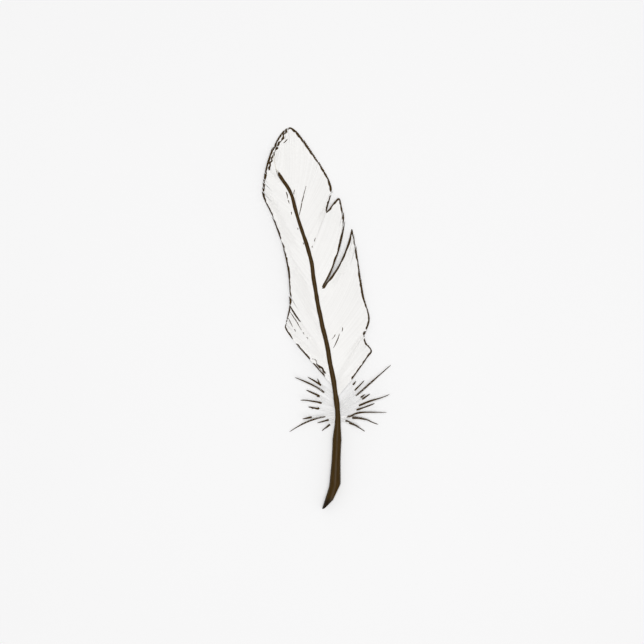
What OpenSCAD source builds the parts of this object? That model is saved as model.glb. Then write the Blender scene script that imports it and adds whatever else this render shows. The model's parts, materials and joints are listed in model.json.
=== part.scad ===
// A quill pen cut from one large flight feather, lying on a table with its smooth side up.
// The origin is on the table under the middle of the pen, +Z is up, and +Y runs from the nib
// to the top of the vane. The modules draw the pen standing on its writing point, with that
// smooth side facing -Y, and on_table() lays it down.

/* [Overall] */
// Height from the writing point to the top of the vane, mm
quill_length = 250; // [230:5:270]
// How far the top of the feather curves back behind the barrel, mm
tip_setback = 16.5; // [14:0.5:18]

/* [Barrel] */
// Sideways lean of the barrel's axis, degrees
barrel_lean = 2.5; // [1:0.5:3.5]
// Outer radius of the barrel's even stretch, mm
barrel_r = 2.85; // [2.75:0.05:3]
// Outer radius of the barrel where the nib is cut, mm
nib_r = 3.65; // [3.5:0.05:3.8]
// Radius of the straight bore, mm
bore_r = 2.3; // [2.2:0.05:2.4]
// Length of the straight bore above the nib's bend, mm
bore_length = 26; // [20:1:27]

/* [Nib] */
// Angle by which the nib bends off the barrel's axis, degrees
nib_bend = 15; // [12:1:17]
// Radius of that bend, at the axis, mm
bend_r = 20; // [16:1:24]
// Wall of the nib, mm
nib_wall = 0.75; // [0.6:0.05:0.9]
// Width of the ink slit, mm
slit_w = 0.12; // [0.1:0.02:0.2]
// Length of the tines from the end of the slit to the writing point, mm
tine_length = 10.8; // [10.2:0.1:11.4]
// Angle of the relief that lets the tines spread, degrees
tine_relief = 6; // [5:1:8]

/* [Shaft] */
// Thickness of the shaft's horny wall round its pith, mm
cortex_t = 0.35; // [0.25:0.05:0.4]

/* [Vane] */
// Thickness of the web of barbs at the shaft, mm
web_t = 0.5; // [0.4:0.05:0.6]
// Thickness of the web at its margin, mm
margin_t = 0.3; // [0.25:0.05:0.35]
// Share of its height over the table that the web has lost at 30 mm from the shaft
camber = 0.8; // [0.6:0.05:0.85]
// Clearance between the web and the shaft, mm
root_gap = 0.25; // [0.2:0.05:0.35]
// Angle by which a barb leaves the shaft wider than the straight line to its tip, degrees
barb_bow = 12; // [6:1:13]

/* [Down] */
// Radius of a downy barb at its root, mm
down_r = 0.22; // [0.18:0.01:0.24]
// Radius of a downy barb at its tip, mm
down_tip_r = 0.1; // [0.06:0.01:0.12]

/* [Hidden] */

// Every place below is drawn for a 250 mm quill and multiplied by this.
drawn_length = 250;
k = quill_length / drawn_length;

INK_BROWN = [0.25, 0.18, 0.09];
HORN_BROWN = [0.30, 0.21, 0.11];
PITH_WHITE = [0.93, 0.90, 0.83];
WEB_WHITE = [0.95, 0.94, 0.92];

// Barrel: its straight axis starts at bend_start and rises to the foot of the shaft.
bend_start = [8.1, 17.2] * k;
barrel_h = 39 * k;
barrel_profile = [[nib_r, 0], [nib_r - 0.3, 6 * k], [barrel_r + 0.1, 14 * k], [barrel_r, 22 * k],
    [barrel_r + 0.1, 28 * k], [barrel_r - 0.35, 33 * k], [1.85, barrel_h]];
hollow_top_r = 1.2;
foot = bend_start + barrel_h * [sin(barrel_lean), cos(barrel_lean)];

// Scoop that opens the barrel and leaves the nib, as a side outline [x, z].
scoop = [[13.3, 19.9] * k, [6.7, 6.3] * k, [2.0, 1.4] * k, [0.66, 0], [-9, 0], [-9, -12], [40, -12], [40, 19.9 * k]];
// Half widths of the nib against the height above its point.
nib_point = [[0.7, 0], [1.6, 0.7], [2.6, 1.4], [3.3, 2.1], [nib_r + 0.2, 3]];

// Axis of the shaft as [z, x], from the barrel to the end of the vane.
shaft_line = concat([[foot[1], foot[0]]], k * [[70, 9.2], [84, 7], [110, 2.2], [123, -0.9], [149, -5.7],
    [163, -7.6], [181, -13.2], [195, -17.7], [208, -21.5], [220, -29.3], [228, -31.9], [236, -32.9]]);
shaft_radius = [[foot[1], 1.85], [70 * k, 1.72], [84 * k, 1.58], [97 * k, 1.5], [110 * k, 1.48],
    [123 * k, 1.4], [136 * k, 1.3], [150 * k, 1.38], [165 * k, 1.3], [176 * k, 1.22], [200 * k, 1.18],
    [215 * k, 1.15], [218.5 * k, 1.05], [220 * k, 0.75]];
cortex_top = 220 * k;
pith_top = 214 * k;
shaft_end = 236 * k;
shaft_tip_r = [0.32, 0.16];

// Roots this far above the end of the shaft's wall still keep clear of it, mm.
end_clear = 3 * k;
// Half the length from which a barb curls in full, mm; shorter ones curl less.
long_half = 9 * k;

// Vane pieces: [name, side, lowest and highest root, how far the margin curls back, share of the
//               barbs' bow at the lowest and highest root, margin from low to high as [x, z]].
LEFT = -1;
RIGHT = 1;
vanes = [
    ["left_base_vane", LEFT, 82.5, 100.4, 3.4, [0, 0.3],
        [[3.2, 84.5], [-8.6, 97.6], [-17.4, 107.6], [-24.4, 117.2], [-24.2, 121.5], [-22.4, 130], [-21.9, 133.4]]],
    ["left_middle_vane", LEFT, 101.2, 146.6, 0.9, [0.3, 0.5],
        [[-21.7, 134.9], [-22, 147], [-23.4, 159], [-26.4, 172.6], [-27.6, 176.6]]],
    ["left_tip_vane", LEFT, 147.4, 234.6, 0.4, [0.5, 0.6],
        [[-28.2, 177.6], [-33.6, 192.6], [-39.2, 204.4], [-39.4, 211], [-38.4, 218.4], [-36.6, 226.6],
        [-33.9, 234.6]]],
    ["right_base_vane", RIGHT, 74.5, 86.3, 1.9, [0, 0],
        [[19.9, 85.7], [29, 98.2], [32.4, 103.2], [28.4, 109], [27.4, 113.4]]],
    ["right_lower_vane", RIGHT, 87.1, 140.8, -0.6, [0, 1.35],
        [[28, 115.2], [30.9, 124.6], [27, 139.4], [23, 164], [20.2, 180.4], [19, 183.2]]],
    ["right_middle_vane", RIGHT, 141.6, 168.2, -1.2, [1.2, 0.1],
        [[14, 184], [14.2, 190], [12.6, 198], [10.2, 203.5], [2.9, 194.6]]],
    ["right_tip_vane", RIGHT, 169, 234.2, 0.3, [0.1, 1],
        [[2.5, 196], [5.2, 204.5], [6, 210], [2.4, 219], [-6.6, 233], [-15.4, 245.4], [-20.8, 249.9],
        [-24.4, 248.8], [-27.4, 245.9], [-30.4, 241.2], [-31.7, 238.2]]],
];

// Downy barbs: [lowest point first] root height, bend point and tip as [x, z], and the tip's depth.
left_down = [
    [58.0, [5, 55.6], [-0.5, 50.9], 3], [59.4, [4, 58.8], [-3.6, 56.9], -3], [60.8, [-4, 62], [-21.8, 50.1], 5],
    [62.2, [-3, 61.4], [-13.3, 59.9], -5], [63.8, [0, 65], [-9.5, 66.6], 4], [66.0, [-3, 71.7], [-14.6, 71.7], -4],
    [68.2, [-1, 73.6], [-10.9, 77.6], 4], [71.0, [-3, 81.7], [-18.3, 86.5], -3], [75.0, [0, 81], [-9.7, 86.2], 4],
];
right_down = [
    [57.8, [16, 57.6], [23.4, 54.8], -6], [58.7, [18, 57.6], [27.7, 50.7], 2], [59.6, [20, 60.6], [30.7, 58.8], -4],
    [60.5, [22, 62], [36.5, 54.9], 5], [61.4, [22, 64.6], [41.8, 63.6], -3], [62.3, [20, 63.8], [34.2, 68.7], 6],
    [63.2, [22, 67.7], [43.6, 75.9], -5], [64.1, [20, 67.7], [31.1, 75.1], 4], [65.0, [19, 69], [27.7, 75.4], -2],
    [66.0, [22, 74], [44.7, 94.4], 5], [67.2, [18, 75.7], [27.2, 84.7], -4], [68.6, [16, 76.4], [21.8, 83.7], 2],
];
down_gap = 0.2;

// Depth of the web's back face behind the shaft's own curve where the top rests, mm.
tip_rest = 0.6;
nib_lean = barrel_lean + nib_bend;

shaft_sides = 16;
shaft_rings = 56;
vane_rows = 18;
vane_columns = 8;
down_sides = 6;
down_rings = 9;

// ---- Curves ----

// Slope of a table [[z, x], ...] at its entry i; the foot keeps the barrel's lean.
function slope(t, i) =
    i == 0 ? tan(barrel_lean)
    : let (a = max(i - 1, 0), b = min(i + 1, len(t) - 1)) (t[b][1] - t[a][1]) / (t[b][0] - t[a][0]);

// The last entry at or below z, so that z lies between it and the next.
function entry(t, z, i = 0) = i >= len(t) - 2 || t[i + 1][0] > z ? i : entry(t, z, i + 1);

// Smooth value of the table at z.
function smooth(t, z) =
    let (i = entry(t, z), h = t[i + 1][0] - t[i][0], f = (z - t[i][0]) / h)
    (1 + 2 * f) * (1 - f) * (1 - f) * t[i][1] + f * (1 - f) * (1 - f) * h * slope(t, i)
    + f * f * (3 - 2 * f) * t[i + 1][1] - f * f * (1 - f) * h * slope(t, i + 1);

function shaft_x(z) = smooth(shaft_line, min(z, shaft_end));
function shaft_y(z) = tip_setback * pow(max(z - foot[1], 0) / (quill_length - foot[1]), 2);
function shaft_point(z) = [shaft_x(z), shaft_y(z), z];
function shaft_way(z) =
    let (d = 0.2, w = shaft_point(min(z + d, shaft_end)) - shaft_point(max(z - d, foot[1]))) w / norm(w);
function shaft_r(z) = z > cortex_top ? shaft_tip_r[0] : lookup(z, shaft_radius);

// Catmull-Rom curve through a list of points, with u from 0 to 1.
function through(p, u) =
    let (n = len(p) - 1, i = min(floor(u * n), n - 1), f = u * n - i,
         a = p[max(i - 1, 0)], b = p[i], c = p[i + 1], d = p[min(i + 2, n)])
    b + 0.5 * f * (c - a + f * (2 * a - 5 * b + 4 * c - d + f * (3 * (b - c) + d - a)));

function bezier(a, b, c, u) = (1 - u) * (1 - u) * a + 2 * u * (1 - u) * b + u * u * c;

// ---- Lying on the table ----

// The pen touches the table under the nib, at heel_z where it first has its full width, and under
// the top of the vane.
heel_z = 4.2 * k;
recline = atan((tip_setback + tip_rest - nib_r) / (quill_length - heel_z));
centre_x = 2.6 * k;

// Depth of the table behind the standing pen, at height z.
function table_y(z) = nib_r + (z - heel_z) * tan(recline);

module on_table() {
    translate([-centre_x, -quill_length / 2, nib_r * cos(recline) - heel_z * sin(recline)])
        rotate([recline - 90, 0, 0]) children();
}

// ---- Solids from rings and grids of points ----

// A closed solid through rings of equal count, with a flat cap at each end.
module skin(rings) {
    n = len(rings[0]);
    last = len(rings) - 1;
    sides = [for (i = [0:last - 1], j = [0:n - 1]) let (m = (j + 1) % n)
        each [[i * n + j, (i + 1) * n + j, (i + 1) * n + m], [i * n + j, (i + 1) * n + m, i * n + m]]];
    caps = [for (j = [1:n - 2]) each [[0, j, j + 1], [last * n, last * n + j + 1, last * n + j]]];
    polyhedron([for (r = rings) each r], concat(sides, caps));
}

// A ring of radius r round point p, square to way.
function ring(p, way, r, n) =
    let (side = cross([0, 1, 0], way), u = side / norm(side), v = cross(way, u))
    [for (j = [0:n - 1]) p + r * (cos(360 * j / n) * u + sin(360 * j / n) * v)];

function shaft_ring(z, r) = ring(shaft_point(z), shaft_way(z), r, shaft_sides);

// ---- Barrel and nib ----

// Frame of the barrel, with +Z up its axis and its origin where the nib's bend starts.
module on_barrel() {
    translate([bend_start[0], 0, bend_start[1]]) rotate([0, barrel_lean, 0]) children();
}

// Frame of the nib, past the bend.
module on_nib() {
    on_barrel() translate([-bend_r * (1 - cos(nib_bend)), 0, -bend_r * sin(nib_bend)])
        rotate([0, nib_bend, 0]) children();
}

nib_top = bend_start + bend_r * [cos(nib_lean) - cos(barrel_lean), sin(barrel_lean) - sin(nib_lean)];
// Length of the nib's axis from the bend down to the level of the writing point.
nib_drop = nib_top[1] / cos(nib_lean);
// Height, in the nib's own frame, of the point where its left wall meets that level.
point_z = -nib_drop - nib_r * tan(nib_lean);
slit_root = point_z + tine_length;

// The barrel's outer form down through the nib, before it is cut.
module quill_form() {
    on_barrel() rotate_extrude($fn = 96) polygon(concat([[0, 0]], barrel_profile, [[0, barrel_h]]));
    on_barrel() translate([-bend_r, 0, 0]) rotate([-90, 0, 0])
        rotate_extrude(angle = nib_bend, $fn = 96) translate([bend_r, 0]) circle(nib_r, $fn = 96);
    on_nib() translate([0, 0, -nib_drop - 4]) cylinder(nib_drop + 4, r = nib_r, $fn = 96);
}

// The room inside: a straight bore that runs on out through the scoop, and the nib's own hollow.
module quill_hollow() {
    on_barrel() translate([0, 0, -30]) cylinder(30 + bore_length, r = bore_r, $fn = 96);
    on_barrel() translate([0, 0, bore_length])
        cylinder(barrel_h - bore_length, r1 = bore_r, r2 = hollow_top_r, $fn = 96);
    on_nib() translate([0, 0, -nib_drop - 5]) cylinder(nib_drop + 6, r = nib_r - nib_wall, $fn = 96);
}

module cut_quill() {
    difference() {
        quill_form();
        quill_hollow();
        translate([0, 30, 0]) rotate([90, 0, 0]) linear_extrude(60) polygon(scoop);
    }
}

// Everything of the nib's frame below height z.
module below(z) {
    translate([-30, -30, z - 60]) cube(60);
}

module barrel() {
    color(INK_BROWN) difference() {
        cut_quill();
        on_nib() below(slit_root);
    }
}

// One half of the pointed end: side is -1 for the upper and 1 for the lower, as the pen lies.
module tine(side) {
    outline = concat([for (p = nib_point) [p[0], p[1] + point_z]], [[nib_r + 1, slit_root + 5]]);
    color(INK_BROWN) intersection() {
        cut_quill();
        on_nib() translate([-15, 0, 0]) rotate([90, 0, 90]) linear_extrude(30)
            polygon(concat([[side * slit_w / 2, slit_root + 5], [side * slit_w / 2, point_z - 3],
                [side * nib_point[0][0], point_z - 3]], [for (p = outline) [side * p[0], p[1]]]));
        on_nib() translate([0, 0, slit_root]) rotate([-side * tine_relief, 0, 0])
            translate([-30, -30, -60.02]) cube(60);
    }
}

// Dried membrane that closes the top of the hollow.
module membrane_cap() {
    low = bore_length + 3 * k;
    high = bore_length + 6 * k;
    taper = (bore_r - hollow_top_r) / (barrel_h - bore_length);
    color(PITH_WHITE) on_barrel() translate([0, 0, low])
        cylinder(high - low, r1 = bore_r - taper * (low - bore_length),
                 r2 = bore_r - taper * (high - bore_length), $fn = 96);
}

// ---- Shaft ----

function shaft_steps(low, high) = [for (i = [0:shaft_rings]) low + (high - low) * i / shaft_rings];

module shaft_cortex() {
    inner = [for (z = shaft_steps(foot[1], pith_top)) shaft_ring(z, shaft_r(z) - cortex_t)];
    outer = [for (z = shaft_steps(foot[1], cortex_top)) shaft_ring(z, shaft_r(z))];
    color(INK_BROWN) skin(concat([for (i = [shaft_rings:-1:0]) inner[i]], outer));
}

module shaft_pith() {
    color(PITH_WHITE) skin([for (z = shaft_steps(foot[1], pith_top)) shaft_ring(z, shaft_r(z) - cortex_t)]);
}

// Hair-thin end of the shaft, which carries the last barbs.
module shaft_tip() {
    steps = 10;
    color(WEB_WHITE) skin([for (i = [0:steps]) let (f = i / steps)
        shaft_ring(cortex_top + f * (shaft_end - cortex_top),
                   shaft_tip_r[0] + f * (shaft_tip_r[1] - shaft_tip_r[0]))]);
}

// ---- Vanes ----

// Point on a vane piece: row 0 to 1 from its lowest barb to its highest, along 0 to 1 from root to margin.
function vane_point(v, row, along) =
    let (side = v[1], z = k * (v[2] + row * (v[3] - v[2])),
         way = shaft_way(z), turn = side * barb_bow * (v[5][0] + row * (v[5][1] - v[5][0])),
         off = side * (max(shaft_r(z), shaft_r(z - end_clear)) + root_gap),
         root = [shaft_x(z) + off * way[2], z - off * way[0]],
         edge = k * through(v[6], row),
         half = (edge - root) / 2,
         start = [half[0] * cos(turn) + half[1] * sin(turn), half[1] * cos(turn) - half[0] * sin(turn)],
         p = bezier(root, root + start, edge, along),
         curl = v[4] * min(1, norm(half) / long_half),
         d = p[0] - shaft_x(p[1]))
    [p[0], shaft_y(p[1]) + camber * (table_y(p[1]) - shaft_y(p[1])) * pow(d / 30, 2)
        + curl * along * along, p[1]];

module vane(v) {
    rows = vane_rows;
    n = vane_columns;
    front = [for (i = [0:rows], j = [0:n]) vane_point(v, i / rows, j / n)
        - [0, (web_t + (margin_t - web_t) * j / n) / 2, 0]];
    back = [for (i = [0:rows], j = [0:n]) vane_point(v, i / rows, j / n)
        + [0, (web_t + (margin_t - web_t) * j / n) / 2, 0]];
    w = n + 1;
    b = w * (rows + 1);
    quads = concat(
        [for (i = [0:rows - 1], j = [0:n - 1]) [i * w + j, (i + 1) * w + j, (i + 1) * w + j + 1, i * w + j + 1]],
        [for (i = [0:rows - 1], j = [0:n - 1])
            [b + i * w + j, b + i * w + j + 1, b + (i + 1) * w + j + 1, b + (i + 1) * w + j]],
        [for (i = [0:rows - 1]) [i * w, b + i * w, b + (i + 1) * w, (i + 1) * w]],
        [for (i = [0:rows - 1]) [i * w + n, (i + 1) * w + n, b + (i + 1) * w + n, b + i * w + n]],
        [for (j = [0:n - 1]) [j, j + 1, b + j + 1, b + j]],
        [for (j = [0:n - 1]) [rows * w + j, b + rows * w + j, b + rows * w + j + 1, rows * w + j + 1]]);
    wound = v[1] == RIGHT ? quads : [for (q = quads) [q[3], q[2], q[1], q[0]]];
    color(WEB_WHITE) polyhedron(concat(front, back),
        [for (q = wound) each [[q[0], q[1], q[2]], [q[0], q[2], q[3]]]]);
}

// ---- Down ----

// One downy barb: d is its row of the list above, side its side of the shaft.
module down_barb(d, side) {
    z = k * d[0];
    root = shaft_point(z) + [side * (shaft_r(z) + down_gap), 0, 0];
    bend = [k * d[1][0], d[3] * 0.6, k * d[1][1]];
    tip = [k * d[2][0], shaft_y(k * d[2][1]) + d[3], k * d[2][1]];
    path = [for (i = [0:down_rings]) bezier(root, bend, tip, i / down_rings)];
    color(HORN_BROWN) skin([for (i = [0:down_rings])
        let (w = path[min(i + 1, down_rings)] - path[max(i - 1, 0)])
        ring(path[i], w / norm(w), down_r + (down_tip_r - down_r) * i / down_rings, down_sides)]);
}

on_table() barrel();
on_table() tine(-1);  // upper_tine
on_table() tine(1);  // lower_tine
on_table() membrane_cap();
on_table() shaft_cortex();
on_table() shaft_pith();
on_table() shaft_tip();
for (v = vanes) on_table() vane(v);
for (i = [0:len(left_down) - 1])
    on_table() down_barb(left_down[i], LEFT);
for (i = [0:len(right_down) - 1])
    on_table() down_barb(right_down[i], RIGHT);
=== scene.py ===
"""Looks of a quill pen that lies on a pale table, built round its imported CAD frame.

Lengths inside this script are in millimetres, in the row's frame; make() turns them into metres.
"""

import json
import math
import random

import bmesh
import bpy
import numpy as np
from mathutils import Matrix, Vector
from mathutils.bvhtree import BVHTree


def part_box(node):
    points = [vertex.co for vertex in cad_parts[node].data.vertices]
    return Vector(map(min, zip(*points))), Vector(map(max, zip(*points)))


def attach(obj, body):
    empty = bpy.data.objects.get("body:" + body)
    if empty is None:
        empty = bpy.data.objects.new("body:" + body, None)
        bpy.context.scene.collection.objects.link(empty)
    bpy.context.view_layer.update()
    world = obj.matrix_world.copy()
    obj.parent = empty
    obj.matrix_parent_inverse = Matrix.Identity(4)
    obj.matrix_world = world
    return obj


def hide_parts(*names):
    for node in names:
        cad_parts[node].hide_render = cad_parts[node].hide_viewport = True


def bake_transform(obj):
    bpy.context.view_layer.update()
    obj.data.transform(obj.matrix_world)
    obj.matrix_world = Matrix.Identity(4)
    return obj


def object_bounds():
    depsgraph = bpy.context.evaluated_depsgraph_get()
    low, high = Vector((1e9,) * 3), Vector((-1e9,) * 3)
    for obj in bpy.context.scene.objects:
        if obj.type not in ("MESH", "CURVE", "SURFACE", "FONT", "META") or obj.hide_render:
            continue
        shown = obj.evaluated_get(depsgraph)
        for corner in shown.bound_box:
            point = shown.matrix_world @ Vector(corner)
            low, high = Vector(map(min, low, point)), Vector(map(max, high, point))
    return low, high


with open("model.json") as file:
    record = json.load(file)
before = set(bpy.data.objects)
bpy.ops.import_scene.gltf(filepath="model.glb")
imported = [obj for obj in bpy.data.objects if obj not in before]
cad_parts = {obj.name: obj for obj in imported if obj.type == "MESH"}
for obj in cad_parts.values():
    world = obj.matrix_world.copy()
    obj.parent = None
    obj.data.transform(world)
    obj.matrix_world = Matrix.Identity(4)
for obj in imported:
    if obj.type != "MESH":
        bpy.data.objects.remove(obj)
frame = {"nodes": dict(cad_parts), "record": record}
cad_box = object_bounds()

MM = 1000.0
RECORD = frame["record"]
JOINTS = {j["name"]: j for j in RECORD["behaviour"]["joints"]}
SCENE = bpy.context.scene


# ---- Camera: straight above the lying pen ----

LENS = 100.0
SENSOR = 36.0
# Width of the table in view and how far the view's middle lies from the pen's, in metres.
VIEW_WIDTH = 0.4238
VIEW_OFFSET = Vector((-0.0030, -0.0028, 0.0))


def make_camera():
    low, high = cad_box
    data = bpy.data.cameras.new("camera")
    data.lens, data.sensor_width = LENS, SENSOR
    data.clip_start, data.clip_end = 0.01, 30.0
    camera = bpy.data.objects.new("camera", data)
    camera.location = (low + high) / 2 + VIEW_OFFSET
    camera.location.z = VIEW_WIDTH * LENS / SENSOR
    SCENE.collection.objects.link(camera)
    SCENE.camera = camera


# ---- Small tools ----

def spline(values, t):
    """Catmull-Rom through values[0], values[1], ... at the places t, along the first axis."""
    values, t = np.asarray(values, float), np.asarray(t, float)
    last = len(values) - 1
    i = np.clip(np.floor(t).astype(int), 0, last - 1)
    f = (t - i).reshape((-1,) + (1,) * (values.ndim - 1))
    a, b, c, d = (values[np.clip(i + k, 0, last)] for k in (-1, 0, 1, 2))
    return b + 0.5 * f * (c - a + f * (2 * a - 5 * b + 4 * c - d + f * (3 * (b - c) + d - a)))


def unit(v):
    v = np.asarray(v, float)
    return v / np.maximum(np.linalg.norm(v, axis=-1, keepdims=True), 1e-9)


def run_along(path):
    """Length along a path, in mm, from its start to each of its points."""
    return np.concatenate(([0], np.cumsum(np.linalg.norm(np.diff(path, axis=0), axis=1))))


def waver(seed, places, step):
    """Smooth noise between -1 and 1, with a new random value every step."""
    places = np.asarray(places, float) / step
    low = math.floor(places.min()) - 1
    count = int(places.max() - low) + 4
    return spline(np.random.default_rng(seed).uniform(-1, 1, count), places - low)


def cad_mesh(*names):
    """Welded points, in mm, and triangles of CAD nodes."""
    points, faces, seen = [], [], {}
    for name in names:
        me = frame["nodes"][name].data
        me.calc_loop_triangles()
        ids = []
        for v in me.vertices:
            key = (name,) + tuple(round(c * 1e6) for c in v.co)
            if key not in seen:
                seen[key] = len(points)
                points.append([c * MM for c in v.co])
            ids.append(seen[key])
        faces += [[ids[i] for i in t.vertices] for t in me.loop_triangles]
    return np.array(points), np.array([f for f in faces if len(set(f)) == 3])


def cut(mesh, origin, normal):
    """Points where a mesh's edges cross a plane."""
    points, tris = mesh
    d = (points - origin) @ np.asarray(normal)
    a = tris.ravel()
    b = np.roll(tris, -1, axis=1).ravel()
    crossing = (d[a] > 0) != (d[b] > 0)
    a, b = a[crossing], b[crossing]
    t = (d[a] / (d[a] - d[b]))[:, None]
    return points[a] + (points[b] - points[a]) * t


class Pile:
    """Points and faces gathered for one mesh, with a value of each attribute for each point."""

    def __init__(self, *attributes):
        self.points, self.faces = [], []
        self.values = {a: [] for a in attributes}
        self.count = 0

    def add(self, points, faces, **values):
        points = np.asarray(points, float).reshape(-1, 3)
        self.points.append(points)
        self.faces += [[i + self.count for i in f] for f in faces]
        for key, stored in self.values.items():
            stored.append(np.broadcast_to(np.asarray(values[key], float), (len(points),)))
        self.count += len(points)

    def tube(self, rings, **values):
        """A closed solid through rings of equal count."""
        rings = np.asarray(rings, float)
        n, m = rings.shape[:2]
        faces = [[i * m + j, i * m + (j + 1) % m, (i + 1) * m + (j + 1) % m, (i + 1) * m + j]
                 for i in range(n - 1) for j in range(m)]
        faces += [list(range(m))[::-1], list(range((n - 1) * m, n * m))]
        self.add(rings, faces, **{k: np.repeat(np.broadcast_to(v, (n,)), m) if np.ndim(v) < 2
                                  else np.asarray(v).ravel() for k, v in values.items()})


def make(name, pile, look, replaced=(), crease=None, weld=0.0):
    """A mesh object of a pile, with its material and slot; the CAD nodes that it stands for are hidden."""
    me = bpy.data.meshes.new(name)
    me.from_pydata((np.concatenate(pile.points) / MM).tolist(), [], pile.faces)
    for key, stored in pile.values.items():
        me.attributes.new(key, "FLOAT", "POINT").data.foreach_set(
            "value", np.concatenate(stored).astype(np.float32))
    bm = bmesh.new()
    bm.from_mesh(me)
    if weld:
        bmesh.ops.remove_doubles(bm, verts=bm.verts, dist=weld / MM)
    bmesh.ops.recalc_face_normals(bm, faces=bm.faces)
    bm.to_mesh(me)
    bm.free()
    me.shade_smooth()
    if crease:
        me.set_sharp_from_angle(angle=math.radians(crease))
    me.materials.append(look)
    piece = bpy.data.objects.new(name, me)
    SCENE.collection.objects.link(piece)
    if replaced:
        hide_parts(*replaced)
    return piece


# ---- Materials ----

# Linear colours. A pair is the two tones that a noise mixes.
INK = (0.037, 0.0190, 0.0028, 1)
INK_WARM = (0.060, 0.032, 0.0058, 1)
INK_LIGHT = (0.088, 0.050, 0.0130, 1)
WEB = (0.870, 0.862, 0.850, 1)
WEB_BRIGHT = (0.925, 0.918, 0.908, 1)
# WEB_SHADE is painted shade, laid on the edges and keel of every barb.
WEB_SHADE = (0.780, 0.765, 0.740, 1)
DOWN_WHITE = (0.965, 0.960, 0.950, 1)
CUT_HORN = (0.105, 0.058, 0.021, 1)
STAIN = (0.012, 0.0070, 0.0030, 1)
PALE_HORN = (0.66, 0.61, 0.52, 1), (0.84, 0.81, 0.74, 1)
PITH = (0.70, 0.60, 0.44, 1), (0.88, 0.82, 0.70, 1)
MEMBRANE = (0.50, 0.39, 0.24, 1), (0.80, 0.70, 0.52, 1)
FLOOR = (0.890, 0.888, 0.890, 1), (0.905, 0.903, 0.905, 1)
# Distances from the writing point between which the stain of dried ink fades out, and its raggedness, in mm.
STAIN_FADE = 12.5, 7.5
STAIN_RAGGED = 5.0


class Look:
    """A material, with short ways to add its nodes."""

    def __init__(self, name):
        self.material = bpy.data.materials.new(name)
        self.material.use_nodes = True
        self.tree = self.material.node_tree
        self.shader = self.tree.nodes["Principled BSDF"]

    def feed(self, node, inputs):
        for key, value in inputs.items():
            if isinstance(value, bpy.types.NodeSocket):
                self.tree.links.new(value, node.inputs[key])
            else:
                node.inputs[key].default_value = value

    def add(self, kind, inputs, output=0, **settings):
        node = self.tree.nodes.new("ShaderNode" + kind)
        for key, value in settings.items():
            setattr(node, key, value)
        self.feed(node, inputs)
        return node.outputs[output]

    def attribute(self, name):
        return self.add("Attribute", {}, "Fac", attribute_name=name)

    def noise(self, size, stretch=(1, 1, 1), detail=3.0):
        """Noise whose features are about size mm across; stretch makes them longer along an axis."""
        where = self.add("TexCoord", {}, "Object")
        scale = [MM / size / s for s in stretch]
        where = self.add("Mapping", {"Vector": where, "Scale": scale})
        return self.add("TexNoise", {"Vector": where, "Scale": 1.0, "Detail": detail, "Roughness": 0.55},
                        "Fac")

    def step(self, value, low, high, to_low=0.0, to_high=1.0):
        """Smooth step from to_low to to_high as value goes from low to high."""
        return self.add("MapRange", {"Value": value, "From Min": low, "From Max": high,
                                     "To Min": to_low, "To Max": to_high}, interpolation_type="SMOOTHSTEP")

    def math(self, operation, a, b):
        return self.add("Math", {0: a, 1: b}, operation=operation)

    def mix(self, factor, a, b):
        return self.add("Mix", {0: factor, 6: a, 7: b}, 2, data_type="RGBA")

    def bump(self, height, depth, strength=1.0):
        """Bumps depth mm high."""
        return self.add("Bump", {"Height": height, "Distance": depth / MM, "Strength": strength}, "Normal")

    def done(self, **inputs):
        self.feed(self.shader, {k.replace("_", " "): v for k, v in inputs.items()})
        return self.material


def web_look():
    """Zipped barbs: off-white silk, each barb a little its own tone, with painted shade along its edges and
    keel, inked where the margin is.
    """
    look = Look("vane_web")
    barbules = look.noise(0.14, (1.0, 1.0, 2.0), 2.0)
    cloud = look.noise(14.0, (1, 2.4, 1))
    tone = look.math("ADD", look.math("MULTIPLY", look.attribute("tone"), 0.7),
                     look.math("MULTIPLY", cloud, 0.5))
    pale = look.mix(look.step(tone, 0.15, 1.0), WEB, WEB_BRIGHT)
    # Painted shade: each barb's edges and keel are darkened towards WEB_SHADE, as though shaded where the barbs
    # meet and beneath them.
    pale = look.mix(look.math("MULTIPLY", look.attribute("groove"), 0.55), pale, WEB_SHADE)
    ragged = look.math("MULTIPLY", look.math("SUBTRACT", look.noise(0.55, (1, 1, 1), 2.0), 0.5), 0.55)
    ink = look.step(look.math("ADD", look.attribute("ink"), ragged), 0.10, -0.10)
    brown = look.mix(look.noise(1.6), INK, INK_WARM)
    return look.done(Base_Color=look.mix(ink, pale, brown),
                     Roughness=look.step(barbules, 0.3, 0.75, 0.52, 0.68),
                     Normal=look.bump(barbules, 0.02, 0.6), Specular_IOR_Level=0.12, Sheen_Weight=0.06)


def horn_look(name, gloss, cut_face):
    """Dark brown horn with a grain along the quill; cut and inner faces are drier and a little lighter."""
    look = Look(name)
    grain = look.noise(0.35, (1, 24, 1), 4.0)
    flecks = look.noise(1.3, (1, 5, 1), 2.0)
    brown = look.mix(look.step(grain, 0.30, 0.72), INK, INK_WARM)
    brown = look.mix(look.step(flecks, 0.62, 0.80, 0.0, 0.45), brown, INK_LIGHT)
    rough = look.step(grain, 0.25, 0.75, gloss, gloss + 0.16)
    if cut_face:
        worn = look.attribute("worn")
        brown = look.mix(look.math("MULTIPLY", worn, 0.75), brown, CUT_HORN)
        # Dried ink darkens the writing point.
        ragged = look.math("MULTIPLY", flecks, STAIN_RAGGED)
        stain = look.step(look.math("ADD", look.attribute("from_point"), ragged), *STAIN_FADE)
        brown = look.mix(look.math("MULTIPLY", stain, 0.85), brown, STAIN)
        rough = look.math("ADD", rough, look.math("MULTIPLY", worn, 0.16))
    return look.done(Base_Color=brown, Roughness=rough, Normal=look.bump(grain, 0.05, 0.7),
                     Specular_IOR_Level=0.10)


def pale_horn_look():
    look = Look("pale_horn")
    grain = look.noise(0.2, (1, 14, 1))
    return look.done(Base_Color=look.mix(grain, *PALE_HORN),
                     Roughness=look.step(grain, 0.3, 0.7, 0.42, 0.6), Normal=look.bump(grain, 0.03))


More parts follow.
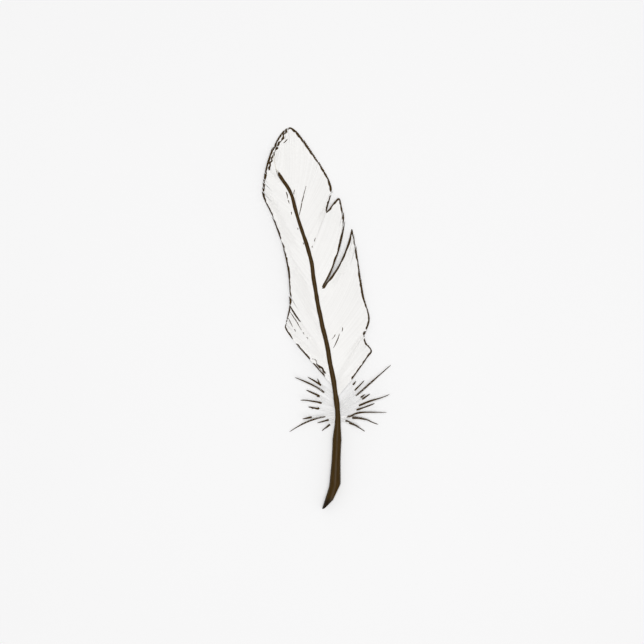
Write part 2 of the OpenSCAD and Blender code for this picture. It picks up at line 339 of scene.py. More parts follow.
def down_look():
    """Loose barbs: pale at the root and along their fine barbules, dark along the outer stem."""
    look = Look("down")
    grain = look.noise(0.4, (1, 1, 1), 2.0)
    pale = look.mix(look.step(grain, 0.3, 0.7), WEB_BRIGHT, DOWN_WHITE)
    ragged = look.math("MULTIPLY", look.math("SUBTRACT", grain, 0.5), 0.5)
    edge = look.math("ADD", look.attribute("dark"), ragged)
    dark = look.step(edge, 0.42, 0.58)
    return look.done(Base_Color=look.mix(dark, pale, look.mix(grain, INK, INK_WARM)),
                     Roughness=look.step(grain, 0.3, 0.7, 0.62, 0.78), Normal=look.bump(grain, 0.03),
                     Specular_IOR_Level=0.12, Sheen_Weight=0.06)


def pith_look():
    look = Look("pith")
    cells = look.noise(0.25, (1, 1.5, 1), 4.0)
    return look.done(Base_Color=look.mix(cells, *PITH), Roughness=0.85, Normal=look.bump(cells, 0.12))


def membrane_look():
    look = Look("membrane")
    wrinkles = look.noise(0.5, (1, 2, 1), 5.0)
    return look.done(Base_Color=look.mix(wrinkles, *MEMBRANE),
                     Roughness=look.step(wrinkles, 0.3, 0.7, 0.4, 0.7), Normal=look.bump(wrinkles, 0.15))


def floor_look():
    look = Look("floor")
    soft = look.noise(260.0)
    return look.done(Base_Color=look.mix(soft, *FLOOR), Roughness=0.9, Specular_IOR_Level=0.1)


# Edges sharper than this, in degrees, stay crisp: on rods and strands, round the quill's cuts, and on barbs.
STRAND_CREASE = 60
QUILL_CREASE = 38
BARB_CREASE = 75


# ---- Shaft ----

SHAFT_STEP = 1.1
SHAFT_SIDES = 24
TIP_SIDES = 10
# Groove along the underside: its depth as a share of the radius, and its half width in radians.
GROOVE_DEPTH = 0.13
GROOVE_WIDTH = 0.33
# Length over which the shaft rounds off at its end, in mm.
ROUND_OFF = 0.9
# The shaft's dark wall may be this share thinner or thicker than the CAD's. Its pith always stays covered.
SHAFT_WAVER = 0.085
# A rod's first and last sections are taken this far inside its ends, in mm.
END_INSET = 0.35


def centreline(node, step):
    """Points along the middle of a rod that runs along +Y, with its half height at each."""
    mesh = cad_mesh(node)
    low, high = mesh[0][:, 1].min(), mesh[0][:, 1].max()
    places = np.linspace(low + END_INSET, high - END_INSET, max(4, int((high - low) / step)))
    middle, radius = [], []
    for y in places:
        ring = cut(mesh, np.array([0, y, 0]), (0, 1, 0))
        a, b = ring.min(0), ring.max(0)
        middle.append([(a[0] + b[0]) / 2, y, (a[2] + b[2]) / 2])
        radius.append((b[2] - a[2]) / 2)
    middle, radius = np.array(middle), np.array(radius)
    ends = middle[0] - (middle[1] - middle[0]) * 0.3, middle[-1] + (middle[-1] - middle[-2]) * 0.3
    return np.vstack((ends[0], middle, ends[1])), np.concatenate((radius[:1], radius, radius[-1:]))


def rings_round(path, size, sides, shape=None, shift=0.0, flat=1.0):
    """Rings round a path: size is each ring's radius, and shape the radius's share at each of its points."""
    way = unit(np.gradient(path, axis=0))
    right = unit(np.cross(way, (0, 0, 1)))
    up = np.cross(right, way)
    a = np.linspace(0, 2 * math.pi, sides, endpoint=False)[None, :, None]
    shape = 1.0 if shape is None else shape[None, :, None]
    middle = path + right * np.reshape(shift, (-1, 1))
    return middle[:, None] + size[:, None, None] * shape * (
        right[:, None] * np.cos(a) + up[:, None] * np.sin(a) * flat)


def make_shaft(looks):
    """The rachis: a rod with a groove along its underside and the small swellings of grown horn."""
    path, radius = centreline("shaft_cortex", SHAFT_STEP)
    y = path[:, 1]
    wide = radius * (1 + SHAFT_WAVER * waver(11, y, 4.5) + 0.03 * waver(12, y, 1.7))
    shift = 0.14 * waver(13, y, 7.0) * np.clip((y - y[0]) / 12, 0, 1)
    taper = np.clip((y[-1] - y) / ROUND_OFF, 0.0, 1.0) ** 0.5
    size = wide * (0.55 + 0.45 * taper)
    angles = np.linspace(0, 2 * math.pi, SHAFT_SIDES, endpoint=False)
    shape = 1 - GROOVE_DEPTH * np.exp(-((angles - 1.5 * math.pi) / GROOVE_WIDTH) ** 2)
    shape = shape + 0.02 * np.cos(2 * angles)
    pile = Pile()
    pile.tube(rings_round(path, size, SHAFT_SIDES, shape, shift))
    piece = make("shaft_rachis", pile, looks["shaft_horn"], ("shaft_cortex",), STRAND_CREASE)
    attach(piece, "shaft")

    hair, thin = centreline("shaft_tip", SHAFT_STEP)
    thin = thin * (1 + 0.1 * waver(14, hair[:, 1], 2.0))
    pile = Pile()
    pile.tube(rings_round(hair, thin, TIP_SIDES))
    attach(make("shaft_hair_tip", pile, looks["pale_horn"], ("shaft_tip",)), "shaft")
    return path


# ---- Barrel and writing point ----

OUTER_SEGMENTS = 22
SIDE_SEGMENTS = 2
CUT_SEGMENTS = 4
INNER_SEGMENTS = 16
# Half width of the ink slit, in mm.
SLIT_HALF = 0.06
BARREL_STEP = 0.65
TINE_STEP = 0.24
# Steps between the sections that are measured on the CAD solids, along the barrel and along the tines, in mm.
BARREL_PROBE = 0.3
TINE_PROBE = 0.12
# An edge or a width beyond this share of the radius counts as the whole of it.
WHOLE = 0.985
# In mm.
THINNEST_WALL = 0.3
# Points of the wall that are closer than this are joined, in mm.
WELD = 0.002


class QuillAxis:
    """The barrel's middle line: straight, then an even bend, then straight down the nib.

    A place on it is given as s, in mm from the barrel's top.
    """

    def __init__(self, barrel, tines):
        bore = next(m for m in RECORD["mounts"] if m["name"] == "barrel_bore")
        hinge = JOINTS["upper_tine_spread"]
        self.start = np.array(bore["pos_m"]) * MM
        self.down = unit(bore["axis"])
        self.hinge = np.array(hinge["pos_m"]) * MM
        side = -unit(hinge["axis"])
        self.normal = unit(np.cross(side, -self.down))
        self.normal *= math.copysign(1, self.normal[2])
        self.nib_down = unit(self.down - side * (self.down @ side))
        self.left = unit(self.nib_down - self.down * (self.nib_down @ self.down))
        self.turn = math.acos(float(self.down @ self.nib_down))
        # The nib's outer radius, and how far inside its left wall the hinge lies, are read off the solids.
        outer = -((cut(barrel, self.start, self.down) - self.start) @ -self.left).min()
        inset = -((cut(barrel, self.hinge - self.nib_down * 0.05, self.nib_down) - self.hinge) @ side).min()
        reach = self.hinge + side * (outer - inset) - self.start
        lever = self.left * (1 - math.cos(self.turn)) + self.down * math.sin(self.turn)
        self.bend_r = float(reach @ side) / float(lever @ side)
        self.end = self.start + lever * self.bend_r
        self.straight = float(((barrel[0] - self.start) @ -self.down).max())
        self.bent = self.straight + self.bend_r * self.turn
        self.length = self.bent + float(((tines[0] - self.end) @ self.nib_down).max())
        self.root = self.bent + float((self.hinge - self.end) @ self.nib_down)

    def at(self, s):
        """Origin, direction down the quill and direction to the right at s."""
        if s < self.straight:
            return self.start - self.down * (self.straight - s), self.down, -self.left
        if s < self.bent:
            a = (s - self.straight) / self.bend_r
            point = self.start + self.bend_r * (self.left * (1 - math.cos(a)) + self.down * math.sin(a))
            return (point, self.down * math.cos(a) + self.left * math.sin(a),
                    -(self.left * math.cos(a) - self.down * math.sin(a)))
        a = self.turn
        return (self.end + self.nib_down * (s - self.bent), self.nib_down,
                -(self.left * math.cos(a) - self.down * math.sin(a)))


def half_section(outer, inner, edge, wide, gap):
    """Upper half of a wall's section as [x, y], and whether the wall is whole.

    It runs from the outer left round to the cut, across it, and back along the inside. edge is how far to the
    right the cut leaves the wall, and wide is its half width there.
    """
    whole = edge >= outer
    reach = outer if edge >= 0 else math.sqrt(max(outer ** 2 - edge ** 2, 0))
    narrow = wide < WHOLE * reach
    if whole:
        corner = side = np.array([outer, 0.0])
        inside = np.array([inner, 0.0])
    else:
        edge = max(edge, -outer + 0.02)
        if narrow:
            corner = np.array([-math.sqrt(outer ** 2 - wide ** 2), wide])
            bare = wide >= inner or edge < -math.sqrt(inner ** 2 - wide ** 2)
            side = np.array([min(edge, math.sqrt(outer ** 2 - wide ** 2)) if bare
                             else -math.sqrt(inner ** 2 - wide ** 2), wide])
            side[0] = max(side[0], corner[0] + 0.01)
        else:
            corner = side = np.array([edge, math.sqrt(max(outer ** 2 - edge ** 2, 1e-4))])
        if edge <= -inner:
            inside = np.array([edge, gap])
        elif edge >= inner:
            inside = np.array([inner, 0.0])
        elif narrow and wide < inner and side[0] < edge:
            inside = side
        else:
            inside = np.array([edge, math.sqrt(inner ** 2 - edge ** 2)])
            if inside[1] > side[1]:
                inside = side

    def arc(radius, a, b, n):
        angles = np.linspace(a, b, n + 1)
        return np.stack((-radius * np.cos(angles), radius * np.sin(angles)), 1)

    def angle(p):
        return math.atan2(p[1], -p[0])

    rounds = arc(outer, math.asin(gap / outer), angle(corner), OUTER_SEGMENTS)
    rounds[-1] = corner
    sides = [corner + (side - corner) * i / SIDE_SEGMENTS for i in range(1, SIDE_SEGMENTS + 1)]
    cuts = [side + (inside - side) * i / CUT_SEGMENTS for i in range(1, CUT_SEGMENTS + 1)]
    depth = max(float(np.hypot(*inside)), 0.01)
    if edge <= -inner and not whole:
        back = np.repeat([inside], INNER_SEGMENTS, 0)
    else:
        back = arc(depth, angle(inside), math.asin(min(gap / depth, 1)), INNER_SEGMENTS)[1:]
    return np.vstack((rounds, sides, cuts, back)), whole


def make_quill(looks):
    """The barrel and the two tines as one continuous wall, parted only by the ink slit."""
    barrel, tines = cad_mesh("barrel"), cad_mesh("upper_tine", "lower_tine")
    both = (np.vstack((barrel[0], tines[0])), np.vstack((barrel[1], tines[1] + len(barrel[0]))))
    axis = QuillAxis(barrel, tines)
    tree = BVHTree.FromPolygons(both[0].tolist(), both[1].tolist())
    places = np.concatenate((np.arange(0.05, axis.root - 0.1, BARREL_PROBE),
                             np.arange(axis.root + 0.1, axis.length - 0.04, TINE_PROBE)))
    rows = []
    for s in places:
        origin, down, right = axis.at(s)
        local = cut(both, origin, down) - origin
        x, y = local @ right, local @ axis.normal
        hit = tree.ray_cast(Vector(origin), Vector(-right))
        rows.append([-x.min(), hit[3] if hit[3] else -x.max(), x.max(), np.abs(y).max()])
    rows = np.array(rows)
    # Past the tines' root a ray along the middle slips out through the slit. The nib's hollow is even there.
    rows[places > axis.root, 1] = rows[places < axis.root, 1][-1]
    # The relief that lets the CAD's rigid tines turn is closed here, so the wall runs on unbroken past the
    # slit's root.
    relief = (places > axis.root - 0.05) & (places < axis.root + 0.6)
    for column in rows.T:
        column[relief] = np.interp(places[relief], places[~relief], column[~relief])

    def section(s, gap):
        outer, inner, edge, wide = (float(np.interp(s, places, c)) for c in rows.T)
        whole = edge > WHOLE * outer
        inner = min(inner, outer - THINNEST_WALL)
        fade = min(1.0, (axis.root - s) / 6 if s < axis.root else 0)
        swell = 1 + 0.012 * float(waver(21, [s], 6.0)[0]) * fade
        return half_section(outer * swell, inner, outer * 1.1 if whole else edge, wide, gap)

    inside_from = OUTER_SEGMENTS + SIDE_SEGMENTS // 2
    total = OUTER_SEGMENTS + SIDE_SEGMENTS + CUT_SEGMENTS + INNER_SEGMENTS + 1

    def wall(pile, stations, sign, gap):
        points, worn, along, whole = [], [], [], []
        for s in stations:
            flat, full = section(s, gap)
            origin, _, right = axis.at(s)
            points.append(origin + flat[:, :1] * right + sign * flat[:, 1:] * axis.normal)
            worn.append(np.arange(total) > (OUTER_SEGMENTS + SIDE_SEGMENTS if full else inside_from))
            along.append(np.full(total, axis.length - s))
            whole.append(full)
        faces = []
        for i in range(len(stations) - 1):
            here, after = i * total, (i + 1) * total
            for j in range(total - 1):
                seam = OUTER_SEGMENTS <= j < total - 1 - INNER_SEGMENTS
                if whole[i] and whole[i + 1] and seam:
                    continue
                faces.append([here + j, here + j + 1, after + j + 1, after + j])
            if gap:
                faces.append([here + total - 1, here, after, after + total - 1])
        last = (len(stations) - 1) * total
        faces += [list(range(total)), list(range(last, last + total))]
        if sign < 0:
            faces = [f[::-1] for f in faces]
        pile.add(np.vstack(points), faces, worn=np.concatenate(worn), from_point=np.concatenate(along))

    stations = np.linspace(0.05, axis.root, int(axis.root / BARREL_STEP))
    pile = Pile("worn", "from_point")
    wall(pile, stations, 1, 0.0)
    wall(pile, stations, -1, 0.0)
    piece = make("barrel_tube", pile, looks["barrel_horn"], ("barrel",), QUILL_CREASE, WELD)
    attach(piece, "shaft")

    stations = np.linspace(axis.root, axis.length - 0.06, int((axis.length - axis.root) / TINE_STEP))
    for node, sign in (("upper_tine", 1), ("lower_tine", -1)):
        pile = Pile("worn", "from_point")
        wall(pile, stations, sign, SLIT_HALF)
        name = node.replace("tine", "point_half")
        piece = make(name, pile, looks["barrel_horn"], (node,), QUILL_CREASE, WELD)
        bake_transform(piece)


# ---- Vane ----

GRID_ROWS = 18
GRID_COLUMNS = 8
BARB_SPACING = 0.60
BARB_STATIONS = 36
# Stations crowd towards the margin, where the inked line is: 1 spaces them evenly.
STATION_CROWD = 1.6
# Lowest that a strand may lie over the table, in mm.
LIE_CLEAR = 0.08
# Faces of the CAD's sheets that point up by more than this belong to their upper side.
FACES_UP = 0.12
# Each of two zipped neighbours stops this share of the CAD's clearance short of the middle.
ZIP_GAP = 0.06
# Depth at which a barb starts inside the shaft, in mm.
ROOT_DEPTH = 0.75
# How far a barb ends past the margin, in mm, and the share of barbs that end SHORT_BY mm sooner.
REACH = (-0.30, 0.18)
SHORT_SHARE = 0.05
SHORT_BY = 0.45
# Small partings near the margin: one for so many barbs, how far out along a barb it starts, its push in mm,
# and the number of barbs over which the push fades.
BARBS_PER_PARTING = 22
PARTING_FROM = (0.55, 0.85)
PARTING_PUSH = (0.16, 0.42)
PARTING_FADE = 3.2
# Barbs rise and fall by this much from one to the next, and together in long ripples, in mm.
BARB_LIFT = 0.05
RIPPLE = 0.10
# A barb's half width as a share of its spacing, and the least and most in mm.
HALF_SHARE = 0.60
HALF_LIMITS = (0.10, 0.60)
# Width of a barb's last two stations, as shares of its full width.
END_TAPER = (0.85, 0.30)
# Rise and fall of a barb's two edges, as a share of its half width.
BARB_TILT = 0.05
# Points whose distance to the inked line is worked out at a time, to save memory.
CHUNK = 4000
# Stray barbs: distance between stations and height over the web, in mm.
STRAY_STEP = 1.4
STRAY_HEIGHT = 0.16
# Neighbouring pieces whose facing barbs lie this close are zipped together at rest, in mm.
ZIPPED = 1.5

# Width of the inked line along each piece's margin, in mm.
LINE_WIDTH = {
    "left_base_vane": 0.92, "left_middle_vane": 1.07, "left_tip_vane": 1.15, "right_base_vane": 1.03,
    "right_lower_vane": 1.18, "right_middle_vane": 1.2, "right_tip_vane": 1.25, "shaft_end_barbs": 1.2,
}
# Sides of a vane piece that carry the inked line besides its margin: (side, from, to) with shares of a barb.
INKED_SIDES = {
    "left_base_vane": [("high", 0.70, 1.0)],
    "right_middle_vane": [("low", 0.115, 1.0)],
    "right_lower_vane": [("high", 0.115, 1.0)],
}
# Places along a margin, as shares from its lowest barb up, where the line breaks: (place, half length in mm).
BREAKS = {
    "right_tip_vane": [(0.145, 1.6), (0.36, 0.4), (0.61, 0.6), (0.735, 1.0)],
    "left_tip_vane": [(0.30, 0.5), (0.66, 0.7)],
    "left_middle_vane": [(0.35, 0.6), (0.72, 0.8)],
    "left_base_vane": [(0.0, 3.2), (0.277, 2.0), (0.557, 2.1), (0.80, 0.5)],
    "right_base_vane": [(0.30, 0.6), (0.96, 1.2)],
    "right_lower_vane": [(0.03, 1.4), (0.42, 0.6), (0.70, 0.5)],
    "right_middle_vane": [(0.28, 0.5)],
}
# What a break takes off the line's width at its middle, in mm.
BREAK_DEPTH = 1.6
# A second, broken line that runs inside the margin: (from, to) as shares of the margin.
DOUBLED = {"right_tip_vane": (0.70, 1.0), "left_tip_vane": (0.74, 1.0), "shaft_end_barbs": (0.0, 1.0),
           "left_base_vane": (0.05, 0.16)}
# How far inside the margin that line runs, and its half width, in mm. NO_LINE stands for no line there.
DOUBLE_INSET = 2.2
SECOND_HALF = 0.56
NO_LINE = -1.0
# Points along the inked line of a margin and of another side.
MARGIN_STATIONS = 420
SIDE_STATIONS = 240
# Dark stray barbs that lie on the web: start and end as shares of the vane piece's box, and half width in mm.
STRAYS = {
    "right_tip_vane": [
        (0.44, 0.28, 0.555, 0.52, 0.34), (0.345, 0.45, 0.36, 0.49, 0.29), (0.70, 0.06, 0.715, 0.10, 0.26),
        (0.66, 0.02, 0.67, 0.035, 0.31), (0.235, 0.905, 0.165, 0.87, 0.36)],
    "left_tip_vane": [
        (0.48, 0.69, 0.51, 0.64, 0.39), (0.515, 0.63, 0.545, 0.60, 0.31), (0.58, 0.54, 0.59, 0.52, 0.34),
        (0.71, 0.42, 0.72, 0.405, 0.34), (0.82, 0.31, 0.83, 0.295, 0.31)],
    "left_base_vane": [
        (0.115, 0.915, 0.36, 0.68, 0.35), (0.39, 0.65, 0.42, 0.625, 0.29), (0.47, 0.59, 0.50, 0.565, 0.26),
        (0.07, 0.835, 0.17, 0.72, 0.35), (0.20, 0.69, 0.235, 0.66, 0.29), (0.69, 0.24, 0.80, 0.16, 0.26)],
    "right_lower_vane": [
        (0.465, 0.33, 0.455, 0.30, 0.31), (0.41, 0.285, 0.29, 0.19, 0.35),
        (0.325, 0.282, 0.264, 0.248, 0.31)],
}
# Pairs of neighbouring pieces: (lower piece, upper piece) on each side.
NEIGHBOURS = [("left_base_vane", "left_middle_vane"), ("left_middle_vane", "left_tip_vane"),
              ("right_base_vane", "right_lower_vane"), ("right_lower_vane", "right_middle_vane"),
              ("right_middle_vane", "right_tip_vane")]


def vane_grid(name, shaft):
    """Upper face of a vane piece as rows of points, from its lowest barb up, each from shaft to margin."""
    points, tris = cad_mesh(name)
    first, second, third = (points[tris[:, i]] for i in range(3))
    normal = unit(np.cross(second - first, third - first))
    top = tris[normal[:, 2] > FACES_UP]
    near, follow = {}, {}
    edges = {(f[i], f[(i + 1) % 3]) for f in top.tolist() for i in range(3)}
    for a, b in edges:
        near.setdefault(a, set()).add(b)
        near.setdefault(b, set()).add(a)
        if (b, a) not in edges:
            follow[a] = b
    loop = [next(iter(follow))]
    while follow[loop[-1]] != loop[0]:
        loop.append(follow[loop[-1]])
    n = len(loop)
    assert n == 2 * (GRID_ROWS + GRID_COLUMNS), (name, n)
    off = np.abs(points[loop, 0] - np.interp(points[loop, 1], shaft[:, 1], shaft[:, 0]))
    # Only the sheet's four corners have fewer than four neighbours; the root side runs between two of them.
    corners = [i for i in range(n)
               if len(near[loop[i]]) < 4 and len(near[loop[(i + GRID_ROWS) % n]]) < 4]
    start = min(corners, key=lambda s: sum(off[(s + i) % n] for i in range(GRID_ROWS + 1)))
    loop = loop[start:] + loop[:start]
    if points[loop[0], 1] > points[loop[GRID_ROWS], 1]:
        loop = [loop[(GRID_ROWS - i) % n] for i in range(n)]
    grid = [[loop[0]] + [loop[n - j] for j in range(1, GRID_COLUMNS + 1)]]
    placed = set(grid[0]) | set(loop[:GRID_ROWS + 1])
    for i in range(1, GRID_ROWS + 1):
        row = [loop[i]]
        for j in range(1, GRID_COLUMNS + 1):
            found = (near[grid[-1][j]] & near[row[-1]]) - placed
            assert len(found) == 1, (name, i, j, len(found))
            row.append(found.pop())
            placed.add(row[-1])
        grid.append(row)
    return points[np.array(grid)]


def zip_neighbours(grids):
    """Facing barbs of neighbours close the CAD's clearance between them, where the vane isn't split."""
    for lower, upper in NEIGHBOURS:
        a, b = grids[lower][-1], grids[upper][0]
        fine = np.linspace(0, GRID_COLUMNS, 81)
        for line, other in ((a, spline(b, fine)), (b, spline(a, fine))):
            moved = line.copy()
            for j, p in enumerate(line):
                gap = np.linalg.norm(other[:, :2] - p[:2], axis=1)
                q = other[gap.argmin()]
                share = np.clip((2 * ZIPPED - gap.min()) / ZIPPED, 0, 1)
                moved[j, :2] += (q[:2] - p[:2]) * share * (0.5 - ZIP_GAP)
            line[:, :2] = moved[:, :2]


def end_grid(left, right):
    """Rows of points that fan round the shaft's end, from the left vane's last barb to the right's."""
    f = np.linspace(0, 1, GRID_ROWS + 1)[:, None]
    margin = spline(np.array([left[-2, -1], left[-1, -1], right[-1, -1], right[-2, -1]]), 1 + f[:, 0])
    root = left[-1, 0] * (1 - f) + right[-1, 0] * f
    share = np.linspace(0, 1, GRID_COLUMNS + 1)[None, :, None]
    return root[:, None] * (1 - share) + margin[:, None] * share


def inked_line(name, grid):
    """Points along a vane piece's inked edges, with the line's width, the second line's half width and inset."""
    rng = np.random.default_rng(sum(map(ord, name)))
    parts = []
    t = np.linspace(0, 1, MARGIN_STATIONS)
    margin = spline(grid[:, -1], t * GRID_ROWS)
    length = run_along(margin)
    width = 1 + 0.30 * waver(rng.integers(1e6), length, 5.0)
    width = (width + 0.22 * waver(rng.integers(1e6), length, 1.3)) * LINE_WIDTH[name]
    for place, half in BREAKS.get(name, ()):
        width -= BREAK_DEPTH * np.exp(-((length - place * length[-1]) / half) ** 4)
    low, high = DOUBLED.get(name, (2, 3))
    sketch = SECOND_HALF + 0.32 * waver(rng.integers(1e6), length, 1.7)
    sketch = np.where((t > low) & (t < high), sketch, NO_LINE)
    inset = DOUBLE_INSET * (1 + 0.30 * waver(rng.integers(1e6), length, 1.6))
    parts.append((margin, width, sketch, inset))
    for side, a, b in INKED_SIDES.get(name, ()):
        v = np.linspace(a, b, SIDE_STATIONS)
        line = spline(grid[0 if side == "low" else -1], v * GRID_COLUMNS)
        run = run_along(line)
        wide = LINE_WIDTH[name] * (1.0 + 0.30 * waver(rng.integers(1e6), run, 4.0))
        parts.append((line, wide, np.full(len(line), NO_LINE), np.zeros(len(line))))
    return tuple(np.concatenate(p) for p in zip(*parts))


def ink_depth(points, line):
    """How far each point lies outside the inked line, in mm; below 0 it is inked."""
    edge, width, sketch, inset = line
    result = np.empty(len(points))
    for k in range(0, len(points), CHUNK):
        part = points[k:k + CHUNK, None, :2] - edge[None, :, :2]
        gap = np.sqrt((part ** 2).sum(2))
        nearest = gap.argmin(1)
        inner = np.abs(gap.min(1) - inset[nearest]) - sketch[nearest]
        result[k:k + CHUNK] = np.minimum((gap - width).min(1), inner)
    return np.clip(result, -1, 2)


def lay_barbs(pile, name, grid, line):
    """Ribbons along the rows of a grid, one for each barb, which overlap like shingles."""
    rng = random.Random(name)
    sizes = [np.linalg.norm(np.diff(grid[:, j], axis=0), axis=1).sum() for j in (0, GRID_COLUMNS // 2, -1)]
    count = int(max(sizes) / BARB_SPACING)
    u = (np.arange(count) + 0.5) / count
    u = u + 0.16 / count * waver(rng.randrange(10 ** 6), np.arange(count), 3.0)
    v = 1 - (1 - np.linspace(0, 1, BARB_STATIONS)) ** STATION_CROWD
    rows = spline(grid, np.clip(u, 0, 1) * GRID_ROWS).transpose(1, 0, 2)
    path = spline(rows, v * GRID_COLUMNS).transpose(1, 0, 2)
    # Each barb begins inside the shaft and ends at the margin, a little raggedly.
    start = path[:, 0] - unit(path[:, 1] - path[:, 0]) * ROOT_DEPTH
    path = np.concatenate((start[:, None], path), 1)
    share = np.concatenate(([0.0], v))
    reach = np.array([rng.uniform(*REACH) for _ in range(count)])
    reach = np.where([rng.random() < SHORT_SHARE for _ in range(count)], reach - SHORT_BY, reach)
    path[:, -1] += unit(path[:, -1] - path[:, -2]) * reach[:, None]
    index = np.arange(count)
    along = unit(np.gradient(path, axis=1))
    across = np.gradient(path, axis=0)
    across -= along * (across * along).sum(2, keepdims=True)
    spacing = np.linalg.norm(across, axis=2)
    aside = unit(across)
    for _ in range(max(2, count // BARBS_PER_PARTING)):
        middle = rng.uniform(0.06, 0.94) * count
        depth = rng.uniform(*PARTING_FROM)
        push = rng.uniform(*PARTING_PUSH)
        fall = np.exp(-np.abs(index - middle) / PARTING_FADE) * np.sign(index - middle)
        open_up = np.clip((share - depth) / (1 - depth), 0, 1) ** 1.3
        path = path + aside * (fall[:, None] * open_up[None] * push)[:, :, None]
    lift = BARB_LIFT * waver(rng.randrange(10 ** 6), index, 2.0)[:, None]
    lift = lift * np.clip(share * 2, 0, 1)[None]
    ripple = RIPPLE * waver(rng.randrange(10 ** 6), index * BARB_SPACING, 9.0)[:, None] * share[None]
    path[:, :, 2] += lift + ripple

    up = unit(np.cross(along, aside))
    up *= np.sign(up[:, :, 2:] + 1e-9)
    end = np.ones(BARB_STATIONS + 1)
    end[-2:] = END_TAPER
    half = np.clip(spacing * HALF_SHARE, *HALF_LIMITS) * end[None]
    half[[0, -1]] *= 0.92
    half = half[:, :, None]
    tall = (0.045 + 0.10 * np.minimum(spacing, 0.6) * end[None])[:, :, None]
    # Round its section: one edge, the raised ridge, the edge that tucks under the next barb, and the keel.
    ribbon = np.stack((path - aside * half + up * BARB_TILT * half - up * 0.02,
                       path - aside * half * 0.25 + up * tall,
                       path + aside * half - up * BARB_TILT * 3 * half - up * 0.05,
                       path - up * (0.10 + tall * 0.6)), 2)
    ribbon[..., 2] = np.maximum(ribbon[..., 2], LIE_CLEAR)
    tone = np.array([rng.random() for _ in range(count)])
    # Painted shade for each point of the section: the two edges and the keel darken towards WEB_SHADE, while the
    # ridge stays clear.
    groove = np.array([0.8, 0.0, 0.8, 0.6])
    for k in range(count):
        flat = ribbon[k].reshape(-1, 3)
        pile.tube(ribbon[k], ink=ink_depth(flat, line).reshape(BARB_STATIONS + 1, 4),
                  tone=np.full(BARB_STATIONS + 1, tone[k]), groove=np.tile(groove, (BARB_STATIONS + 1, 1)))


def lay_strays(pile, name, box):
    """Thin dark barbs that have come loose from the web and lie on it."""
    tree = BVHTree.FromPolygons(np.concatenate(pile.points).tolist(), pile.faces)
    low, high = box
    for x0, y0, x1, y1, wide in STRAYS.get(name, ()):
        a, b = (low[:2] + (high - low)[:2] * np.array(p) for p in ((x0, y0), (x1, y1)))
        n = max(4, int(np.linalg.norm(b - a) / STRAY_STEP))
        t = np.linspace(0, 1, n + 1)
        way = unit(b - a)
        aside = np.array([-way[1], way[0]])
        bow = 0.25 * np.sin(t * math.pi) + 0.08 * waver(int(1000 * (x0 + y1)), t * n, 1.5)
        flat = a + (b - a) * t[:, None] + aside * bow[:, None]
        path = []
        for p in flat:
            hit = tree.ray_cast(Vector((p[0], p[1], 60)), Vector((0, 0, -1)))[0]
            path.append([p[0], p[1], hit.z if hit else (path[-1][2] if path else float(low[2]))])
        path = np.array(path)
        half = (wide * (0.45 + 0.55 * np.sin(np.clip(t * 1.15, 0, 1) * math.pi) ** 0.6))[:, None]
        side3 = np.append(aside, 0)
        up = np.array([0, 0, 1.0])
        rings = np.stack((path - side3 * half, path + up * STRAY_HEIGHT,
                          path + side3 * half, path - up * 0.05), 1)
        pile.tube(rings, ink=-1.0, tone=0.5, groove=0.0)


def make_vanes(looks, shaft):
    names = sorted({n for pair in NEIGHBOURS for n in pair})
    grids = {name: vane_grid(name, shaft) for name in names}
    boxes = {name: tuple(np.array(c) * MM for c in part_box(name)) for name in names}
    zip_neighbours(grids)
    end = "shaft_end_barbs"
    grids[end] = end_grid(grids["left_tip_vane"], grids["right_tip_vane"])
    lines = {name: inked_line(name, grid) for name, grid in grids.items()}
    # One line runs round the tip, across all three of its pieces.
    tip = [lines["left_tip_vane"], lines[end], lines["right_tip_vane"]]
    round_tip = tuple(np.concatenate(part) for part in zip(*tip))
    pile = Pile("ink", "tone", "groove")
    lay_barbs(pile, end, grids[end], round_tip)
    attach(make(end, pile, looks["vane_web"], crease=BARB_CREASE), "shaft")
    for name in names:
        grid = grids[name]
        pile = Pile("ink", "tone", "groove")
        lay_barbs(pile, name, grid, round_tip if "_tip_" in name else lines[name])
        lay_strays(pile, name, boxes[name])
        barbs = name.replace("_vane", "_barbs")
        piece = make(barbs, pile, looks["vane_web"], (name,), BARB_CREASE)
        joint = JOINTS[name.replace("_vane", "_flex")]
        pos = np.array(joint["pos_m"]) * MM
        out = unit(np.cross(joint["axis"], (0, 0, 1)))
        middle = grid[GRID_ROWS // 2, -1] - pos
        out = out * math.copysign(1, float(out @ middle))
        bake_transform(piece)


# ---- Down ----

# Share of each downy barb, from its root, after which it turns dark.
DARK_FROM = {
    "left": [0.44, 0.42, 0.24, 0.70, 0.62, 0.38, 0.53, 0.28, 0.51],
    "right": [0.53, 0.22, 0.42, 0.20, 0.17, 0.52, 0.46, 0.75, 0.83, 0.39, 0.63, 0.83],
}
# Downy barbs that bow towards the nib near their root: (share along the barb, mm).
BOWS = {("right", 5): (0.17, 2.3)}
# Length of a bow, as a share of its barb.
BOW_LENGTH = 0.2
# Short dark side threads of downy barbs: (share along the barb, length in mm, turn in degrees).
TWIGS = {("left", 9): [(0.57, 4.4, -31)], ("left", 7): [(0.52, 2.4, 28)],
         ("left", 5): [(0.60, 1.9, -40), (0.80, 1.7, 35)]}
# Length over which a barb turns dark, as a share of it.
DARK_EDGE = 0.05
# Half width of a downy stem where it is pale, where its dark stroke begins and where it ends, in mm.
STEM_PALE = 0.17
STEM_DARK = 0.74
STEM_END = 0.07
# The dark stroke keeps its width for longer where this is lower.
STEM_TAPER = 0.32
STEM_STATIONS = 26
STEM_SIDES = 10
TWIG_RADIUS = np.array([0.34, 0.42, 0.40, 0.34, 0.24, 0.10])
BARBULE_STEP = 0.70
BARBULE_RADIUS = np.array([0.034, 0.028, 0.02, 0.01])
BARBULE_LENGTH = 1.5
# Pale loose strands on each side: how many, their length as a share of the barbs', and their rise in mm.
FLUFF_COUNT = 12
FLUFF_SHARE = (0.45, 0.8)
FLUFF_RISE = (-1.2, 1.4)
FLUFF_RADIUS = 0.10
FLUFF_BARBULE_LENGTH = 1.6
